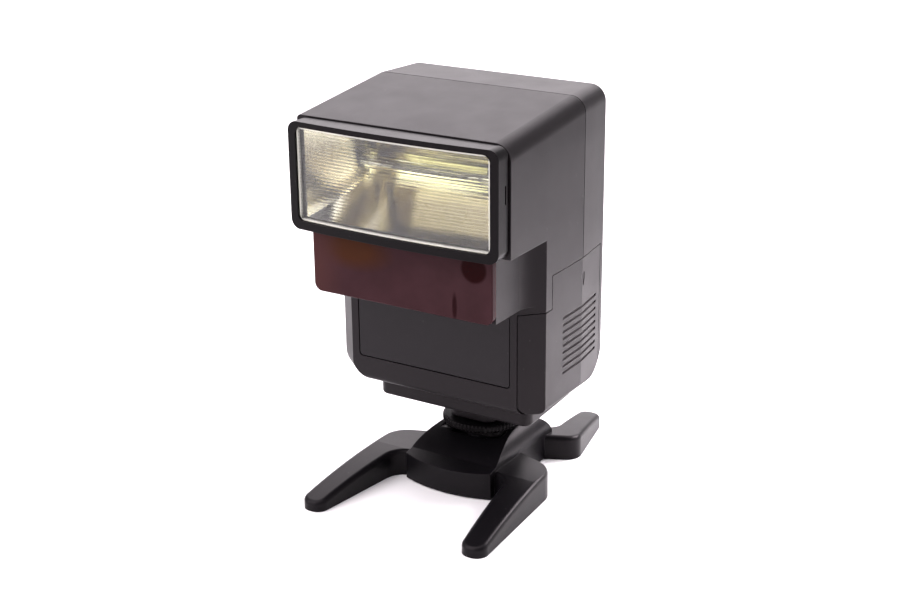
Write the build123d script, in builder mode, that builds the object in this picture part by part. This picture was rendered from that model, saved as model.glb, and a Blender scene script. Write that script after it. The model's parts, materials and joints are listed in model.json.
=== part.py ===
"""Compact speedlight flash with a fixed head, locked in the shoe of a four-legged table stand.

Millimetres, +Z up, front towards -Y, the origin on the surface that the stand rests on,
under the middle of the whole object.
"""

import math
import os

from build123d import *

os.makedirs("parts", exist_ok=True)

# ---------------------------------------------------------------- driving dimensions
# casing: half widths, stations along Y and heights along Z
case_half = 35.6
case_left = 36.2
tail_half = 33.4
tail_left = 34.0
bezel_half = 35.2
bezel_mid_x = -0.2
window_half = 30.8
chamfer_x = 29.5
chamfer_y = -19.1
left_chamfer_y = -19.3
housing_blend = 3.6
bezel_y = -45.5
bezel_bow = 1.6
window_y = -41.8
case_y = -39.8
panel_y = -25.1
seam_y = 3.4
rear_y = 21.5
body_z = 35.0
window_z = 69.0
head_z = 88.9
top_front_z = 121.7
bezel_top_z = 121.3
bezel_gap = 0.5
top_z = 126.1
wall = 2.0
edge_r = 5.0
left_edge_r = 1.2
tail_edge_r = 1.1
left_bottom_r = 7.5
right_bottom_r = 1.5
chamfer_bottom_r = 6.0
tail_bottom_r = 11.0
seam_depth = 0.9
seam_width = 0.4

# flash optics
tube_r = 1.75
mouth_y = -41.4
vertex_y = -21.8
mouth_half_x = 32.0
vertex_half_x = 22.6
optic_z = 105.5
mouth_half_z = 13.8
lens_half_x = 32.5
lens_low_z = 91.6
lens_high_z = 119.6

# foot, lock wheel and shoe, on the flash's own vertical axis
foot_y = 4.5
shoe_floor_z = 10.2
foot_width = 18.6
foot_length = 18.2
foot_thick = 2.0
foot_z = 10.35
slot_gap = 0.15
stem_r = 6.0
wheel_z = 16.5
wheel_top_z = 18.9
wheel_r = 13.0
collar_z = 19.3
base_z = 26.2
base_half = 27.4
base_front_y = -14.5

# stand
block_half = 15.6
block_front_y = -17.3
block_rear_y = 22.5
block_bow = 3.0
crease_y = -14.0
crease_z = 9.8
ridge_top_z = 15.3
block_low_z = 0.4
bush_height = 6.2
block_front_z = 8.8
foot_tip_y = 51.5
leg_edge_r = 1.5

# batteries
cell_r = 7.25
cell_length = 50.5
cell_pitch = 15.0
cells_y = -6.0
cells_z = 54.2
tray_end_x = 25.0

# battery door
door_gap = 0.3
door_rear_y = 18.2
door_top_z = 77.0
door_front_top_z = 66.6
door_step_y = -15.4
door_wall = 1.8
door_corner_r = 3.5
hinge_x = chamfer_x + door_corner_r
hinge_z = body_z + door_corner_r
pin_r = 0.7

# case screws
screw_x = 28.0
screw_levels = (84.0, 117.0)


# ---------------------------------------------------------------- shared forms
def low_outline(inset):
    """Front view of the casing, which rounds its two long bottom edges differently."""
    left = inset - case_left
    right = case_half - inset
    low = body_z + inset
    with BuildSketch(Plane.XZ) as outline:
        with BuildLine():
            FilletPolyline(
                (left, low),
                (right, low),
                (right, 150),
                (left, 150),
                radius=(left_bottom_r - inset, max(right_bottom_r - inset, 0), 0, 0),
                close=True,
            )
        make_face()
    return outline.sketch


def lower_form(inset):
    """Lower body in front of the seam, its front corners cut off and the left cut's foot rounded."""
    left = inset - case_left
    right = case_half - inset
    run = case_left - chamfer_x
    rise = left_chamfer_y - panel_y
    inwards = inset / math.hypot(run, rise)
    cut_start = (rise * inwards - chamfer_x, run * inwards + panel_y, body_z + inset)
    with BuildPart() as form:
        with BuildSketch(Plane.XY.offset(body_z + inset)):
            with BuildLine():
                Polyline(
                    (left, seam_y),
                    (left, panel_y + inset),
                    (chamfer_x - inset / 2, panel_y + inset),
                    (right, chamfer_y + inset / 2),
                    (right, seam_y),
                    close=True,
                )
            make_face()
        extrude(amount=head_z + 1 - body_z)
        with BuildSketch(Plane(origin=cut_start, x_dir=(rise, run, 0), z_dir=(run, -rise, 0))):
            with BuildLine():
                FilletPolyline(
                    (0, 0), (0, 120), (120, 120), (120, 0),
                    radius=(chamfer_bottom_r - inset, 0, 0, 0),
                    close=True,
                )
            make_face()
        extrude(amount=90, both=True, mode=Mode.INTERSECT)
    return form.part


def housing_web(side, run, rise):
    """Hollow curve that leads from the window housing's side into the cut corner beside it."""
    corner_x = window_half
    corner_y = panel_y + (window_half - chamfer_x) * rise / run
    length = math.hypot(run, rise)
    low = (side * corner_x, corner_y - housing_blend)
    high = (side * (corner_x + housing_blend * run / length), corner_y + housing_blend * rise / length)
    with BuildPart() as web:
        with BuildSketch(Plane.XY.offset(window_z)):
            with BuildLine():
                TangentArc(low, high, tangent=(0, 1))
                Polyline(
                    high,
                    (side * (corner_x - 1), corner_y + housing_blend),
                    (side * (corner_x - 1), low[1]),
                    low,
                )
            make_face()
        extrude(amount=head_z + 1 - window_z)
    return web.part


def front_form(inset):
    """Front casing as a solid, or its hollow when inset, open towards the lens and the window."""
    left = inset - case_left
    right = case_half - inset
    front_y = case_y - 5 * (inset > 0)
    slope = (top_z - top_front_z) / (seam_y - case_y)
    with BuildPart() as form:
        with BuildSketch(Plane.YZ.offset(left)):
            with BuildLine():
                Polyline(
                    (front_y, head_z + inset),
                    (front_y, top_z - inset - slope * (seam_y - front_y)),
                    (seam_y, top_z - inset),
                    (seam_y, head_z + inset),
                    close=True,
                )
            make_face()
        extrude(amount=right - left)
        roof = form.faces().sort_by(Axis.Z)[-1]
        fillet(roof.edges().sort_by(Axis.X)[-1], edge_r - inset)
        roof = form.faces().sort_by(Axis.Z)[-1]
        fillet(roof.edges().sort_by(Axis.X)[0], max(left_edge_r - inset, 0.3))
        add(lower_form(inset))
        # the window housing under the lens
        with BuildSketch(Plane.XY.offset(window_z + inset)):
            with Locations((0, (front_y + panel_y + 3) / 2)):
                Rectangle(2 * (window_half - inset), panel_y + 3 - front_y)
        extrude(amount=head_z + 1 - window_z)
        if not inset:
            add(housing_web(1, case_half - chamfer_x, chamfer_y - panel_y))
            add(housing_web(-1, case_left - chamfer_x, left_chamfer_y - panel_y))
        with BuildSketch(Plane.XZ.offset(-60)):
            add(low_outline(inset))
        extrude(amount=120, mode=Mode.INTERSECT)
        # the rounded front edge of the underside
        with BuildSketch(Plane.YZ):
            with BuildLine():
                FilletPolyline(
                    (front_y - 1, 150),
                    (seam_y, 150),
                    (seam_y, body_z + inset),
                    (panel_y + inset, body_z + inset),
                    (panel_y + inset, window_z + inset),
                    (front_y - 1, window_z + inset),
                    radius=(0, 0, 0, 2.4 - inset / 2, 0, 0),
                    close=True,
                )
            make_face()
        extrude(amount=60, both=True, mode=Mode.INTERSECT)
    return form.part


def rear_form(inset):
    """Rear casing as a solid, or its hollow when inset, open towards the seam."""
    back_y = rear_y - inset
    with BuildPart() as form:
        with BuildSketch(Plane.XY.offset(body_z + inset)):
            with BuildLine():
                Polyline(
                    (inset - case_left, seam_y),
                    (case_half - inset, seam_y),
                    (tail_half - inset, back_y),
                    (inset - tail_left, back_y),
                    close=True,
                )
            make_face()
        extrude(amount=top_z - body_z - 2 * inset)
        roof = form.faces().sort_by(Axis.Z)[-1]
        fillet(roof.edges().sort_by(Axis.X)[-1], edge_r - inset)
        roof = form.faces().sort_by(Axis.Z)[-1]
        fillet(roof.edges().sort_by(Axis.X)[0], max(left_edge_r - inset, 0.3))
        if not inset:
            back = form.faces().sort_by(Axis.Y)[-1]
            fillet(back.edges().filter_by(lambda edge: edge.center().Z > body_z + 1), tail_edge_r)
        with BuildSketch(Plane.XZ.offset(-60)):
            add(low_outline(inset))
        extrude(amount=120, mode=Mode.INTERSECT)
        with BuildSketch(Plane.YZ):
            with BuildLine():
                FilletPolyline(
                    (seam_y, body_z + inset),
                    (back_y, body_z + inset),
                    (back_y, 150),
                    (seam_y, 150),
                    radius=(0, tail_bottom_r - inset, 0, 0),
                    close=True,
                )
            make_face()
        extrude(amount=60, both=True, mode=Mode.INTERSECT)
    return form.part


def seam_groove():
    """The fine step left open all round between the two casing halves."""
    with BuildPart() as groove:
        add(rear_solid)
        add(rear_form(seam_depth), mode=Mode.SUBTRACT)
        with Locations((0, seam_y, 80)):
            Box(100, 2 * seam_width, 120, mode=Mode.INTERSECT)
    return groove.part


def door_region(grow):
    """Side view of the battery door, extruded outwards, its lower edge rounded about the hinge."""
    low_x = chamfer_x - grow
    low_z = body_z - grow
    with BuildPart() as region:
        with BuildSketch(Plane.YZ.offset(low_x)):
            with BuildLine():
                Polyline(
                    (panel_y - 2, low_z),
                    (panel_y - 2, door_front_top_z + grow),
                    (door_step_y - grow, door_front_top_z + grow),
                    (door_step_y - grow, door_top_z + grow),
                    (door_rear_y + grow, door_top_z + grow),
                    (door_rear_y + grow, low_z),
                    close=True,
                )
            make_face()
        extrude(amount=12)
        with BuildSketch(Plane.XZ.offset(-60)):
            with BuildLine():
                FilletPolyline(
                    (low_x, low_z),
                    (low_x + 14, low_z),
                    (low_x + 14, 150),
                    (low_x, 150),
                    radius=(door_corner_r - grow, 0, 0, 0),
                    close=True,
                )
            make_face()
        extrude(amount=120, mode=Mode.INTERSECT)
    return region.part


def front_arc_face(behind, half, back_y=case_y):
    """Plan of everything behind the bowed front line, moved back by a distance."""
    left = bezel_mid_x - half
    right = bezel_mid_x + half
    with BuildSketch(Plane.XY) as plan:
        with BuildLine():
            ThreePointArc(
                (left, bezel_y + behind),
                (bezel_mid_x, bezel_y - bezel_bow + behind),
                (right, bezel_y + behind),
            )
            Polyline((right, bezel_y + behind), (right, back_y), (left, back_y), (left, bezel_y + behind))
        make_face()
    return plan.sketch


front_solid = front_form(0)
front_hollow = front_form(wall)
rear_solid = rear_form(0)
rear_hollow = rear_form(wall)

# ---------------------------------------------------------------- stand
front_leg = [
    (13.5, -14.8),
    (20.3, -14.8),
    (24.9, -foot_tip_y),
    (32.9, -foot_tip_y),
    (29.6, -2.5),
    (13.5, 3.2),
]
front_leg_r = (0, 6.5, 3.6, 3.6, 9.0, 0)
rear_leg = [
    (9.5, 17.5),
    (15.4, 17.5),
    (25.4, 22.2),
    (19.2, foot_tip_y),
    (11.6, foot_tip_y),
    (14.2, 28.5),
    (9.5, 22.4),
]
rear_leg_r = (0, 1.0, 5.0, 3.6, 3.6, 5.0, 0)


def leg_form(outline, radii, ridge_line):
    """One leg: its outline from above, under a top that falls towards the tip."""
    with BuildPart() as leg:
        with BuildSketch():
            with BuildLine():
                FilletPolyline(*outline, radius=radii, close=True)
            make_face()
        extrude(amount=12)
        with BuildSketch(Plane.YZ):
            with BuildLine():
                ThreePointArc(*ridge_line)
                Polyline(ridge_line[-1], (ridge_line[-1][0], 0), (ridge_line[0][0], 0), ridge_line[0])
            make_face()
        extrude(amount=60, both=True, mode=Mode.INTERSECT)
        roof = leg.faces().sort_by(Axis.Z)[-1]
        fillet(roof.edges(), leg_edge_r)
    return leg.part


with BuildPart() as stand_body:
    # legs, mirrored side to side
    add(leg_form(front_leg, front_leg_r, [(-52, 3.2), (-22, 8.1), (8, 8.9)]))
    add(leg_form(rear_leg, rear_leg_r, [(12, 8.6), (30, 7.4), (52, 4.0)]))
    mirror(about=Plane.YZ)
    # centre block, bowed at the front, with a dome from front to back
    with BuildSketch(Plane.XY.offset(block_low_z)) as block_plan:
        with BuildLine():
            ThreePointArc(
                (-block_half, block_front_y),
                (0, block_front_y - block_bow),
                (block_half, block_front_y),
            )
            Polyline(
                (block_half, block_front_y),
                (block_half, block_rear_y),
                (-block_half, block_rear_y),
                (-block_half, block_front_y),
            )
        make_face()
    extrude(amount=24)
    with BuildSketch(Plane.YZ) as dome:
        with BuildLine():
            Polyline((block_front_y - block_bow - 1, block_front_z - 0.6), (crease_y, crease_z))
            ThreePointArc((crease_y, crease_z), (-5.5, 13.6), (5.5, ridge_top_z))
            Line((5.5, ridge_top_z), (12.5, ridge_top_z))
            ThreePointArc((12.5, ridge_top_z), (18.5, 13.6), (block_rear_y, 8.6))
            Polyline(
                (block_rear_y, 8.6),
                (block_rear_y + 1, 8.6),
                (foot_tip_y + 1, 8.6),
                (foot_tip_y + 1, -1),
                (-foot_tip_y - 1, -1),
                (-foot_tip_y - 1, block_front_z - 0.6),
                (block_front_y - block_bow - 1, block_front_z - 0.6),
            )
        make_face()
    extrude(amount=60, both=True, mode=Mode.INTERSECT)
    # the block's shoulders, rounded over towards its top
    with BuildSketch(Plane.XZ):
        with BuildLine():
            ThreePointArc((-block_half, 8.7), (-14.4, 12.6), (-11.4, ridge_top_z + 0.2))
            Line((-11.4, ridge_top_z + 0.2), (11.4, ridge_top_z + 0.2))
            ThreePointArc((11.4, ridge_top_z + 0.2), (14.4, 12.6), (block_half, 8.7))
            Polyline((block_half, 8.7), (60, 8.7), (60, -1), (-60, -1), (-60, 8.7), (-block_half, 8.7))
        make_face()
    extrude(amount=60, both=True, mode=Mode.INTERSECT)
    # recess between the shoulders for the clamp plate
    with BuildSketch(Plane.XY.offset(14.1)):
        with Locations((0, 7.5)):
            Rectangle(21.6, 36.0)
    extrude(amount=4, mode=Mode.SUBTRACT)
    # shoe: a slot for the foot plate, open to the rear, under two lips
    with BuildSketch(Plane.XZ.offset(6 - foot_y + 3.2)):
        with Locations((0, shoe_floor_z + 1.15)):
            Rectangle(foot_width + 2 * slot_gap, 2.3)
        with Locations((0, shoe_floor_z + 2.5)):
            Rectangle(2 * stem_r + 0.9, 5)
    extrude(amount=-40, mode=Mode.SUBTRACT)
    # groove in the shoe's floor, so that the contact pins slide in freely
    with BuildSketch(Plane.XY.offset(shoe_floor_z - 0.9)):
        with Locations((0, 12.0)):
            Rectangle(9.0, 28.0)
    extrude(amount=2, mode=Mode.SUBTRACT)
    # hollow underside, with a boss for the tripod bush and crossing ribs
    with BuildSketch(Plane.XY):
        with Locations((0, 2.6)):
            Rectangle(27.2, 35.8)
        with Locations((0, foot_y)):
            Circle(7.2, mode=Mode.SUBTRACT)
            Rectangle(27.2, 1.8, mode=Mode.SUBTRACT)
            Rectangle(1.8, 36, mode=Mode.SUBTRACT)
    extrude(amount=7.0, mode=Mode.SUBTRACT)
    with Locations(Plane.XY.offset(block_low_z)):
        with Locations((0, foot_y)):
            Hole(4.6, depth=bush_height)
stand_body.part.label = "stand_body"

with BuildPart() as tripod_bush:
    with BuildSketch(Plane.XY.offset(block_low_z)):
        with Locations((0, foot_y)):
            RegularPolygon(4.5, 12, major_radius=True)
            Circle(3.175, mode=Mode.SUBTRACT)
    extrude(amount=bush_height)
tripod_bush.part.label = "tripod_bush"

# ---------------------------------------------------------------- casing
with BuildPart() as front_shell:
    add(front_solid)
    add(front_hollow, mode=Mode.SUBTRACT)
    # bosses for the case screws, each tied to the side wall
    for level in screw_levels:
        for side in (-1, 1):
            with BuildSketch(Plane.XZ.offset(-seam_y)):
                with Locations((side * screw_x, level)):
                    Circle(3.1)
                with Locations((side * (screw_x + case_half - wall) / 2 + side * 0.5, level)):
                    Rectangle(case_half - wall - screw_x + 1, 1.6)
            extrude(amount=9)
            with BuildSketch(Plane.XZ.offset(-seam_y)):
                with Locations((side * screw_x, level)):
                    Circle(1.25)
            extrude(amount=9, mode=Mode.SUBTRACT)
    # shallow pocket for the name panel
    with BuildSketch(Plane.XZ.offset(-panel_y)):
        with Locations((0, 55.2)):
            RectangleRounded(54.0, 24.4, 1.3)
    extrude(amount=-0.9, mode=Mode.SUBTRACT)
    # opening behind the battery door
    add(door_region(door_gap), mode=Mode.SUBTRACT)
    # opening in the underside for the foot's stem flange
    with BuildSketch(Plane.XY.offset(body_z - 1)):
        with Locations((0, foot_y)):
            Circle(9.2)
    extrude(amount=4, mode=Mode.SUBTRACT)
front_shell.part.label = "front_shell"

with BuildPart() as rear_shell:
    add(rear_solid)
    add(rear_hollow, mode=Mode.SUBTRACT)
    # columns that the case screws pass through
    for level in screw_levels:
        for side in (-1, 1):
            with BuildSketch(Plane.XZ.offset(-seam_y)):
                with Locations((side * screw_x, level)):
                    Circle(3.5)
            extrude(amount=seam_y - rear_y + 1.0)
            with BuildSketch(Plane.XZ.offset(-seam_y)):
                with Locations((side * screw_x, level)):
                    Circle(1.45)
            extrude(amount=seam_y - rear_y - 1.0, mode=Mode.SUBTRACT)
            with BuildSketch(Plane.XZ.offset(-rear_y)):
                with Locations((side * screw_x, level)):
                    Circle(2.7)
            extrude(amount=3.4, mode=Mode.SUBTRACT)
    # opening for the control panel
    with BuildSketch(Plane.XZ.offset(-rear_y)):
        with Locations((0, 66.0)):
            RectangleRounded(46.4, 26.4, 3.2)
    extrude(amount=4, mode=Mode.SUBTRACT)
    add(door_region(door_gap), mode=Mode.SUBTRACT)
    add(seam_groove(), mode=Mode.SUBTRACT)
    with BuildSketch(Plane.XY.offset(body_z - 1)):
        with Locations((0, foot_y)):
            Circle(9.2)
    extrude(amount=4, mode=Mode.SUBTRACT)
rear_shell.part.label = "rear_shell"

with BuildPart() as case_screws:
    for level in screw_levels:
        for side in (-1, 1):
            with BuildSketch(Plane.XZ.offset(-rear_y + 3.4)):
                with Locations((side * screw_x, level)):
                    Circle(2.4)
            extrude(amount=-1.7)
            with BuildSketch(Plane.XZ.offset(-rear_y + 3.4)):
                with Locations((side * screw_x, level)):
                    Circle(1.2)
            extrude(amount=20.0)
            with BuildSketch(Plane.XZ.offset(-rear_y + 1.7)):
                with Locations((side * screw_x, level)):
                    Rectangle(3.0, 0.6)
                    Rectangle(0.6, 3.0)
            extrude(amount=0.8, mode=Mode.SUBTRACT)
case_screws.part.label = "case_screws"

# ---------------------------------------------------------------- lens end
with BuildPart() as bezel:
    with BuildSketch(Plane.XY.offset(head_z)):
        add(front_arc_face(0, bezel_half, case_y - bezel_gap))
    extrude(amount=bezel_top_z - head_z)
    with BuildSketch(Plane.XZ.offset(60)):
        with Locations((bezel_mid_x, (head_z + bezel_top_z) / 2)):
            RectangleRounded(2 * bezel_half, bezel_top_z - head_z, 3.1)
    extrude(amount=-30, mode=Mode.INTERSECT)
    # tongue inside the casing
    with BuildSketch(Plane.XZ.offset(-case_y + bezel_gap)):
        with Locations((bezel_mid_x, (head_z + bezel_top_z) / 2 - 0.15)):
            RectangleRounded(66.8, bezel_top_z - head_z - 4.7, 3.4)
    extrude(amount=-3.5)
    # mouth, with a rebate from behind for the lens
    with BuildSketch(Plane.XZ.offset(60)):
        with Locations((bezel_mid_x, (lens_low_z + lens_high_z) / 2)):
            RectangleRounded(2 * lens_half_x + 0.2, lens_high_z - lens_low_z + 0.2, 2.2)
    extrude(amount=-30, mode=Mode.SUBTRACT)
    with BuildSketch(Plane.XY.offset(lens_low_z - 0.9)):
        add(front_arc_face(1.6, lens_half_x + 0.5))
        with Locations((bezel_mid_x, case_y + 1.5)):
            Rectangle(2 * lens_half_x + 1.0, 3.2)
    extrude(amount=lens_high_z - lens_low_z + 1.8, mode=Mode.SUBTRACT)
    # slot that releases the snap
    with Locations((bezel_mid_x + bezel_half, -41.75, 108.0)):
        Box(1.6, 0.6, 5.3, mode=Mode.SUBTRACT)
bezel.part.label = "bezel"

with BuildPart() as fresnel_lens:
    with BuildSketch(Plane.XY.offset(lens_low_z)):
        add(front_arc_face(0.6, lens_half_x))
        add(front_arc_face(2.8, lens_half_x), mode=Mode.SUBTRACT)
    extrude(amount=lens_high_z - lens_low_z)
    with BuildSketch(Plane.XZ.offset(60)):
        with Locations((bezel_mid_x, (lens_low_z + lens_high_z) / 2)):
            RectangleRounded(2 * lens_half_x, lens_high_z - lens_low_z, 2.1)
    extrude(amount=-30, mode=Mode.INTERSECT)
    with BuildSketch(Plane.XY.offset(lens_low_z - 0.8)):
        add(front_arc_face(1.7, lens_half_x + 0.4))
        add(front_arc_face(2.8, lens_half_x + 0.4), mode=Mode.SUBTRACT)
    extrude(amount=lens_high_z - lens_low_z + 1.6)
fresnel_lens.part.label = "fresnel_lens"


def reflector_form(skin):
    """Trough of parabolic section with slanting ends; skin is added all round."""
    with BuildPart() as form:
        with BuildSketch(Plane.YZ):
            with BuildLine():
                Bezier(
                    (mouth_y, optic_z - mouth_half_z - skin),
                    (2 * (vertex_y + skin) - mouth_y, optic_z),
                    (mouth_y, optic_z + mouth_half_z + skin),
                )
                Line((mouth_y, optic_z + mouth_half_z + skin), (mouth_y, optic_z - mouth_half_z - skin))
            make_face()
        extrude(amount=40, both=True)
        with BuildSketch(Plane.XY.offset(optic_z - 20)):
            with BuildLine():
                Polyline(
                    (-mouth_half_x - skin, mouth_y),
                    (mouth_half_x + skin, mouth_y),
                    (vertex_half_x + skin, vertex_y + skin),
                    (-vertex_half_x - skin, vertex_y + skin),
                    close=True,
                )
            make_face()
        extrude(amount=40, mode=Mode.INTERSECT)
    return form.part


focus_y = vertex_y - mouth_half_z**2 / (4 * (vertex_y - mouth_y))

with BuildPart() as reflector:
    add(reflector_form(0.6))
    add(reflector_form(0), mode=Mode.SUBTRACT)
    with BuildSketch(Plane.YZ.offset(-40)):
        with Locations((focus_y, optic_z)):
            Circle(tube_r + 0.9)
    extrude(amount=80, mode=Mode.SUBTRACT)
reflector.part.label = "reflector"

with BuildPart() as flash_tube:
    with BuildSketch(Plane.YZ.offset(-30.5)):
        with Locations((focus_y, optic_z)):
            Circle(tube_r)
    extrude(amount=61)
    fillet(flash_tube.edges().filter_by(GeomType.CIRCLE), 0.8)
flash_tube.part.label = "flash_tube"

with BuildPart() as tube_grommets:
    for side in (-1, 1):
        with BuildSketch(Plane.YZ.offset(side * 28.9)):
            with Locations((focus_y, optic_z)):
                Circle(tube_r + 2.0)
                Circle(tube_r, mode=Mode.SUBTRACT)
        extrude(amount=side * 1.6)
tube_grommets.part.label = "tube_grommets"

with BuildPart() as trigger_coil:
    with BuildSketch(Plane.XY.offset(96.0)):
        with Locations((-27.0, -15.2)):
            Circle(4.2)
    extrude(amount=12.0)
    with BuildSketch(Plane.XY.offset(97.5)):
        with Locations((-27.0, -15.2)):
            Circle(4.2)
            Circle(3.3, mode=Mode.SUBTRACT)
    extrude(amount=9.0, mode=Mode.SUBTRACT)
trigger_coil.part.label = "trigger_coil"

# ---------------------------------------------------------------- focus-assist window
with BuildPart() as af_window:
    with BuildSketch(Plane.XZ.offset(-case_y)):
        with Locations((0, (window_z + head_z) / 2 - 0.1)):
            Rectangle(2 * window_half, head_z - window_z - 0.2)
    extrude(amount=case_y - window_y)
    low_edges = af_window.edges().filter_by(Axis.Y).group_by(Axis.Z)[0]
    fillet(low_edges, 2.6)
    front_edges = af_window.faces().sort_by(Axis.Y)[0].edges()
    fillet(front_edges, 0.5)
    # rim that plugs into the housing
    with BuildSketch(Plane.XZ.offset(-case_y)):
        with Locations((0, (window_z + head_z) / 2 + 0.2)):
            Rectangle(2 * (window_half - wall) - 0.2, head_z - window_z - 2 * wall - 0.6)
            Rectangle(
                2 * (window_half - wall) - 2.6,
                head_z - window_z - 2 * wall - 3.0,
                mode=Mode.SUBTRACT,
            )
    extrude(amount=-1.6)
af_window.part.label = "af_window"

lamp_x = 24.0
lamp_z = 83.0

with BuildPart() as af_lens:
    with BuildSketch(Plane.XZ.offset(-case_y - 2.0)):
        with Locations((lamp_x, lamp_z)):
            Circle(3.0)
    extrude(amount=-2.4)
    fillet(af_lens.faces().sort_by(Axis.Y)[0].edges(), 1.2)
af_lens.part.label = "af_lens"

with BuildPart() as af_lamp_holder:
    with BuildSketch(Plane.XZ.offset(-case_y - 2.6)):
        with Locations((lamp_x, lamp_z)):
            Rectangle(8.4, 8.0)
            Circle(3.05, mode=Mode.SUBTRACT)
    extrude(amount=-9.0)
af_lamp_holder.part.label = "af_lamp_holder"

with BuildPart() as af_lamp:
    with BuildSketch(Plane.XZ.offset(-case_y - 6.0)):
        with Locations((lamp_x, lamp_z)):
            Circle(2.5)
    extrude(amount=-6.0)
    fillet(af_lamp.faces().sort_by(Axis.Y)[0].edges(), 1.8)
    with BuildSketch(Plane.XZ.offset(-case_y - 11.0)):
        with Locations((lamp_x, lamp_z)):
            Circle(2.9)
    extrude(amount=-1.0)
af_lamp.part.label = "af_lamp"

with BuildPart() as pattern_slide:
    with BuildSketch(Plane.XZ.offset(-case_y - 2.2)):
        with Locations((-14.0, 83.4)):
            RectangleRounded(21.0, 7.4, 1.0)
    extrude(amount=-1.4)
pattern_slide.part.label = "pattern_slide"

with BuildPart() as control_board:
    with BuildSketch(Plane.XZ.offset(-case_y - 13.0)):
        with Locations((0, 79.0)):
            Rectangle(55.0, 15.4)
    extrude(amount=-1.2)
control_board.part.label = "control_board"

with BuildPart() as name_panel:
    with BuildSketch(Plane.XZ.offset(-panel_y - 0.9)):
        with Locations((0, 55.2)):
            RectangleRounded(53.4, 23.8, 1.0)
    extrude(amount=0.9)
    fillet(name_panel.faces().sort_by(Axis.Y)[0].edges(), 0.25)
name_panel.part.label = "name_panel"

# ---------------------------------------------------------------- power parts inside
with BuildPart() as main_capacitor:
    with BuildSketch(Plane.YZ.offset(-22.5)):
        with Locations((-5.5, 104.0)):
            Circle(11.5)
    extrude(amount=45.0)
    fillet(main_capacitor.edges().filter_by(GeomType.CIRCLE), 0.9)
    with BuildSketch(Plane.YZ.offset(-19.5)):
        with Locations((-5.5, 104.0)):
            Circle(11.6)
            Circle(11.0, mode=Mode.SUBTRACT)
    extrude(amount=1.2, mode=Mode.SUBTRACT)
main_capacitor.part.label = "main_capacitor"

with BuildPart() as main_board:
    with BuildSketch(Plane.XZ.offset(-12.6)):
        with Locations((0, 86.0)):
            Rectangle(47.0, 62.0)
    extrude(amount=1.6)
main_board.part.label = "main_board"

with BuildPart() as transformer:
    with BuildSketch(Plane.XZ.offset(-10.99)):
        with Locations((-12.0, 85.0)):
            Rectangle(16.0, 12.0)
    extrude(amount=2.4)
    with BuildSketch(Plane.XZ.offset(-8.59)):
        with Locations((-12.0, 85.0)):
            Rectangle(11.0, 9.0)
    extrude(amount=7.0)
    with BuildSketch(Plane.XZ.offset(-1.59)):
        with Locations((-12.0, 85.0)):
            Rectangle(16.0, 12.0)
    extrude(amount=2.4)
transformer.part.label = "transformer"

with BuildPart() as power_transistor:
    with BuildSketch(Plane.XZ.offset(-10.99)):
        with Locations((10.0, 85.0)):
            Rectangle(10.0, 15.0)
    extrude(amount=4.4)
    with BuildSketch(Plane.XZ.offset(-10.99)):
        with Locations((10.0, 89.5)):
            Circle(1.6)
    extrude(amount=4.4, mode=Mode.SUBTRACT)
power_transistor.part.label = "power_transistor"

# ---------------------------------------------------------------- control panel at the back
panel_x = 46.0
panel_mid_z = 66.0
slider_x = -12.0
button_x = 13.0
ready_x = 2.0

with BuildPart() as rear_panel:
    with BuildSketch(Plane.XZ.offset(-rear_y + 1.0)):
        with Locations((0, panel_mid_z)):
            RectangleRounded(panel_x, 26.0, 3.0)
    extrude(amount=1.8)
    with BuildSketch(Plane.XZ.offset(-rear_y + 4.0)):
        with Locations((slider_x, panel_mid_z)):
            Rectangle(6.4, 14.4)
        with Locations((button_x, panel_mid_z - 2)):
            Circle(4.3)
        with Locations((ready_x, panel_mid_z + 7)):
            Circle(1.9)
    extrude(amount=-6, mode=Mode.SUBTRACT)
rear_panel.part.label = "rear_panel"

with BuildPart() as power_slider:
    with BuildSketch(Plane.XZ.offset(-rear_y - 0.6)):
        with Locations((slider_x, panel_mid_z - 3.5)):
            Rectangle(5.8, 6.8)
    extrude(amount=4.6)
    for step in range(3):
        with BuildSketch(Plane.XZ.offset(-rear_y - 0.6)):
            with Locations((slider_x, panel_mid_z - 5.3 + 1.8 * step)):
                Rectangle(5.8, 0.7)
        extrude(amount=0.5, mode=Mode.SUBTRACT)
power_slider.part.label = "power_slider"

with BuildPart() as power_switch:
    with BuildSketch(Plane.XZ.offset(-rear_y + 4.6)):
        with Locations((slider_x, panel_mid_z)):
            Rectangle(8.4, 19.0)
    extrude(amount=3.6)
power_switch.part.label = "power_switch"

with BuildPart() as test_button:
    with BuildSketch(Plane.XZ.offset(-rear_y - 0.8)):
        with Locations((button_x, panel_mid_z - 2)):
            Circle(4.0)
    extrude(amount=3.0)
    fillet(test_button.faces().sort_by(Axis.Y)[-1].edges(), 0.7)
    with BuildSketch(Plane.XZ.offset(-rear_y + 2.2)):
        with Locations((button_x, panel_mid_z - 2)):
            Circle(1.0)
    extrude(amount=1.8)
test_button.part.label = "test_button"

with BuildPart() as button_spring:
    with BuildSketch(Plane.XZ.offset(-rear_y + 3.9)):
        with Locations((button_x, panel_mid_z - 2)):
            Circle(2.6)
            Circle(1.9, mode=Mode.SUBTRACT)
    extrude(amount=1.0)
button_spring.part.label = "button_spring"

with BuildPart() as test_switch:
    with BuildSketch(Plane.XZ.offset(-rear_y + 5.0)):
        with Locations((button_x, panel_mid_z - 2)):
            Rectangle(6.0, 6.0)
    extrude(amount=3.2)
test_switch.part.label = "test_switch"

with BuildPart() as ready_lamp:
    with BuildSketch(Plane.XZ.offset(-rear_y - 0.5)):
        with Locations((ready_x, panel_mid_z + 7)):
            Circle(1.85)
    extrude(amount=4.5)
    fillet(ready_lamp.faces().sort_by(Axis.Y)[-1].edges(), 1.2)
ready_lamp.part.label = "ready_lamp"

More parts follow.
